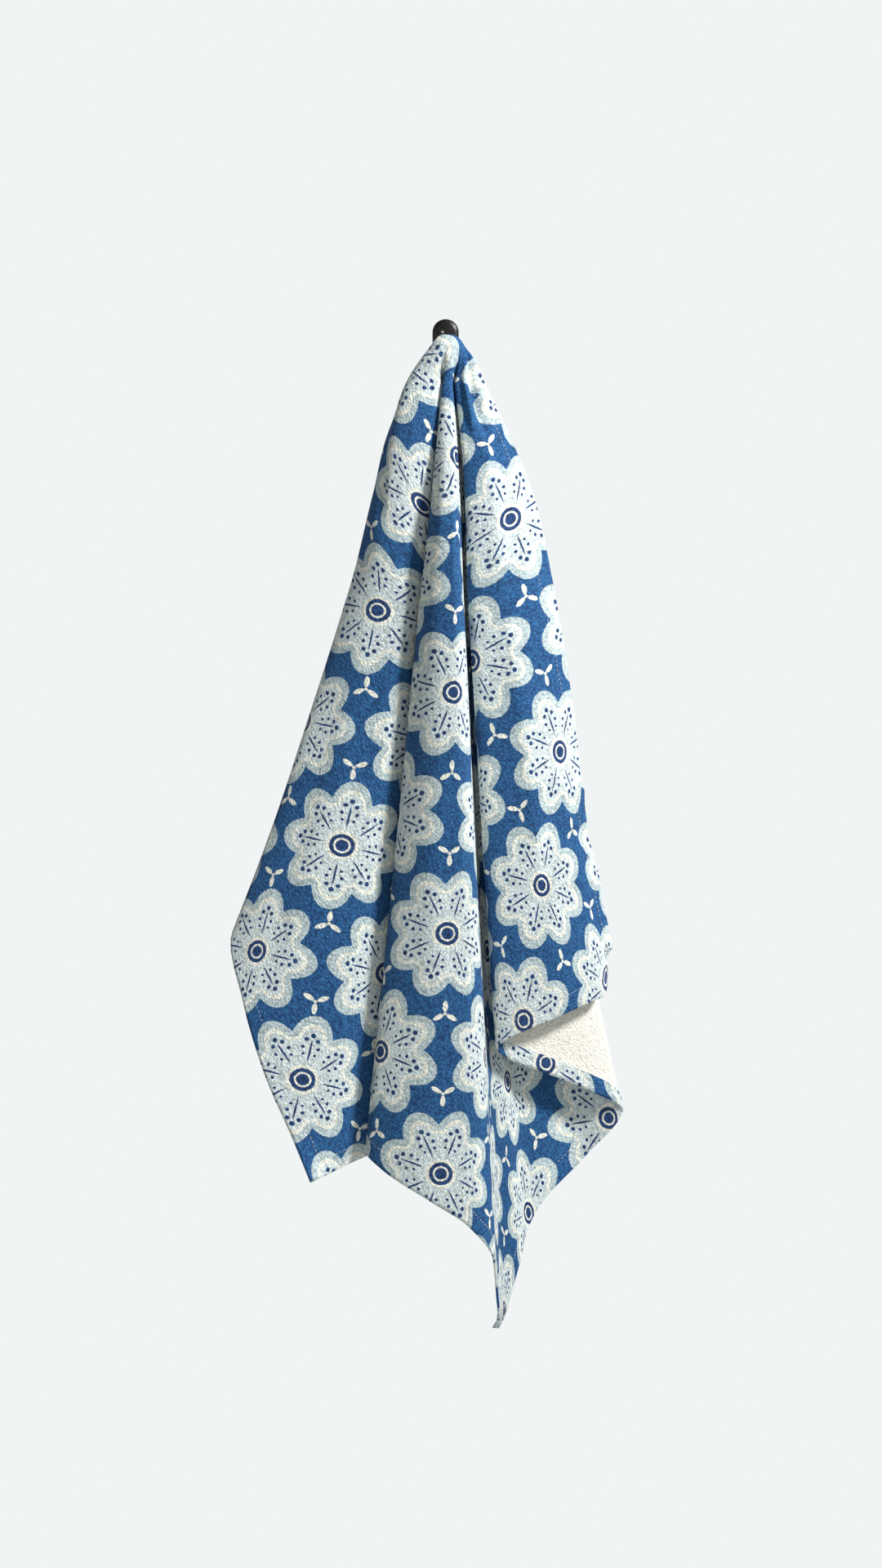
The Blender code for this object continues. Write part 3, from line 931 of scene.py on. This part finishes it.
def mattFloorPaint():
    # matt off-white floor paint: even, with the roller's soft marks about 3 mm apart
    s = studio
    made, tree = newMaterial("mattFloorPaint")
    spot = addNode(tree, "ShaderNodeNewGeometry")
    roller = addNode(
        tree, "ShaderNodeTexNoise", None,
        {"Vector": spot.outputs[0], "Scale": s["rollerScale"], "Detail": 3.0},
    )
    bump = addNode(
        tree, "ShaderNodeBump", None,
        {"Height": roller.outputs[0], "Distance": s["rollerDepth"], "Strength": 0.2},
    )
    shader = addNode(
        tree, "ShaderNodeBsdfPrincipled", None,
        {"Base Color": linearColour(s["floorPaint"]), "Roughness": 0.8, "Normal": bump.outputs[0]},
    )
    addNode(tree, "ShaderNodeOutputMaterial", None, {"Surface": shader.outputs[0]})
    return made


def buildCamera():
    v = photoView
    hx, hy, hz = towelCloth["hangPoint"]
    width, height = v["imageSize"]
    side = (width / 2 - v["hookPixel"][0]) * v["metresPerPixel"]
    down = (height / 2 - v["hookPixel"][1]) * v["metresPerPixel"]
    data = bpy.data.cameras.new("photoCamera")
    data.sensor_fit = "VERTICAL"
    data.sensor_height = v["filmHeight"]
    data.lens = v["filmHeight"] * v["distance"] / (height * v["metresPerPixel"])
    data.clip_start = v["nearest"]
    obj = bpy.data.objects.new("photoCamera", data)
    obj.location = (hx + side, hy - v["distance"], hz - down)
    obj.rotation_euler = (math.radians(90), 0, 0)
    bpy.context.scene.collection.objects.link(obj)
    bpy.context.scene.camera = obj


def buildStudio():
    s = studio
    radius, z, sides = s["floorRadius"], s["floorHeight"], 96
    turns = [math.tau * k / sides for k in range(sides)]
    mesh = bpy.data.meshes.new("floor")
    edge = [(radius * math.cos(a), radius * math.sin(a), z) for a in turns]
    mesh.from_pydata(edge, [], [tuple(range(sides))])
    mesh.materials.append(mattFloorPaint())
    floor = bpy.data.objects.new("floor", mesh)
    bpy.context.scene.collection.objects.link(floor)
    light = bpy.data.lights.new("key", "AREA")
    light.shape = "DISK"
    light.size = s["key"]["size"]
    light.energy = s["key"]["watts"]
    obj = bpy.data.objects.new("key", light)
    obj.location = s["key"]["at"]
    towards = [a - b for a, b in zip(s["aim"], s["key"]["at"])]
    flatRun = math.hypot(towards[0], towards[1])
    obj.rotation_euler = (
        math.atan2(flatRun, -towards[2]), 0, math.atan2(towards[1], towards[0]) - math.pi / 2,
    )
    bpy.context.scene.collection.objects.link(obj)
    world = bpy.data.worlds.new("paleStudio")
    world.use_nodes = True
    tree = world.node_tree
    backdrop = tree.nodes["Background"]
    backdrop.inputs[0].default_value = linearColour(s["worldColour"])
    direction = addNode(tree, "ShaderNodeTexCoord")
    split = addNode(tree, "ShaderNodeSeparateXYZ", None, {0: direction.outputs["Generated"]})
    around = addNode(
        tree, "ShaderNodeMapRange", {"interpolation_type": "SMOOTHSTEP"},
        {"Value": split.outputs[2], "From Min": s["aroundTo"][0], "From Max": s["aroundTo"][1],
         "To Min": s["worldAround"], "To Max": s["worldAbove"]},
    )
    behind = addNode(
        tree, "ShaderNodeMapRange", {"interpolation_type": "SMOOTHSTEP"},
        {"Value": split.outputs[1], "From Min": s["behindFrom"][0], "From Max": s["behindFrom"][1],
         "To Min": 0.0, "To Max": s["worldBehind"]},
    )
    brighter = addNode(
        tree, "ShaderNodeMath", {"operation": "MAXIMUM"}, {0: around.outputs[0], 1: behind.outputs[0]}
    )
    tree.links.new(brighter.outputs[0], backdrop.inputs[1])
    bpy.context.scene.world = world
    bpy.context.scene.view_settings.view_transform = "Standard"


buildCamera()
buildStudio()
print("camera and studio built")

printedSide, plainSide, thread = printedCottonCrepe(), unprintedCottonCrepe(), polyesterThread()
towel = towelPiece()
towel.data.materials.append(printedSide)
towel.data.materials.append(plainSide)
stitches = stitchPiece()
stitches.data.materials.append(thread)
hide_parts("towel")
for piece in (towel, stitches):
    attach(piece, "root")
print("towel hung:", len(towel.data.polygons), "faces, stitches", len(stitches.data.polygons))

lacquer = blackLacqueredSteel()
for name in ("hook", "hook_screw"):
    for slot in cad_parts[name].material_slots:
        slot.material = lacquer
print("hook lacquered")
